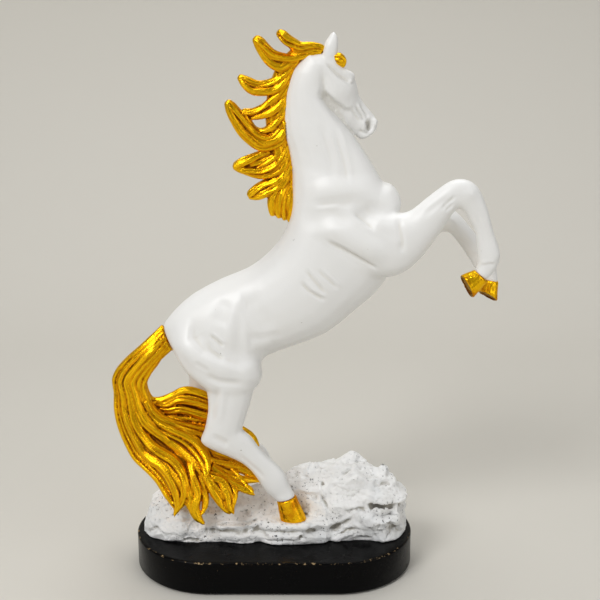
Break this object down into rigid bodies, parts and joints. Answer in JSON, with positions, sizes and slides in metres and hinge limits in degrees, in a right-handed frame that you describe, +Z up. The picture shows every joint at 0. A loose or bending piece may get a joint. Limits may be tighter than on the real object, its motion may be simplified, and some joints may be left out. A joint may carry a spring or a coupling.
{
  "type": "horse statue",
  "caption": "Rearing horse statue in white with gold mane, tail and hooves, standing on a rough rock on a black plinth with round ends, as a table ornament.",
  "frame": {"origin": "middle of the underside of the felt, under the plinth", "axes": "+X is the way the horse faces, along the plinth; +Y is the horse's left; +Z is up"},
  "size_m": [0.2179, 0.09, 0.3041],
  "materials": {
    "felt": "dark felt",
    "black_paint": "satin black paint, worn pale along the top edge",
    "rock_paint": "rough white paint with blue-grey hollows and small dark pits",
    "white_paint": "satin white paint",
    "gold_paint": "metallic gold paint with brown in the grooves",
    "steel": "bright drawn steel"
  },
  "bodies": {
    "root": {"base_felt": "felt", "plinth": "black_paint", "rock": "rock_paint", "trunk": "white_paint", "neck_and_head": "white_paint", "right_foreleg": "white_paint", "left_foreleg": "white_paint", "right_hind_leg": "white_paint", "left_hind_leg": "white_paint", "right_fore_hoof": "gold_paint", "left_fore_hoof": "gold_paint", "right_hind_hoof": "gold_paint", "left_hind_hoof": "gold_paint", "mane": "gold_paint", "forelock": "gold_paint", "tail": "gold_paint", "rock_screws": "steel", "neck_pin": "steel", "foreleg_pins": "steel", "hind_leg_pins": "steel", "hoof_pins": "steel"}
  },
  "joints": []
}
